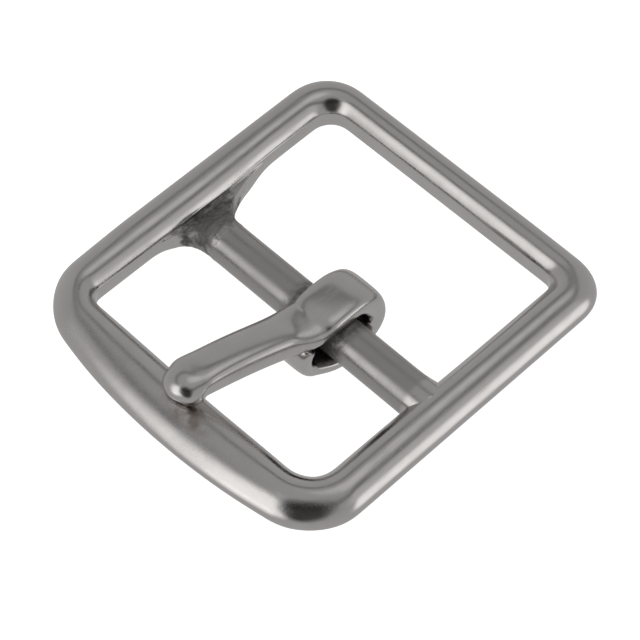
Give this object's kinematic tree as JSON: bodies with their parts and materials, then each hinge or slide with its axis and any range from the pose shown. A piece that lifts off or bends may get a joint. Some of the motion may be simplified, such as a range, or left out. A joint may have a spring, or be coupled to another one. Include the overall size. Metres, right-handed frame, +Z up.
{
  "type": "belt buckle",
  "caption": "Rounded square strap buckle: a cast ring with a bowed front bar, a centre bar, and a prong hinged on the centre bar.",
  "frame": {"origin": "on the centre bar's axis, halfway between the two side bars", "axes": "+X from the front bar to the back bar, +Y along the centre bar, +Z up out of the buckle's domed face"},
  "size_m": [0.0553, 0.051, 0.0115],
  "materials": {
    "frame_steel": "tumbled and polished cast stainless steel, satin to bright",
    "prong_steel": "tumbled and polished cast stainless steel, satin to bright"
  },
  "bodies": {
    "frame": {"frame": "frame_steel"},
    "prong": {"prong": "prong_steel"}
  },
  "joints": [
    {"name": "prong_hinge", "type": "hinge", "parent": "frame", "child": "prong", "pos_m": [0, 0, 0], "axis": [0, 1, 0], "range_deg": [0, 335]}
  ]
}
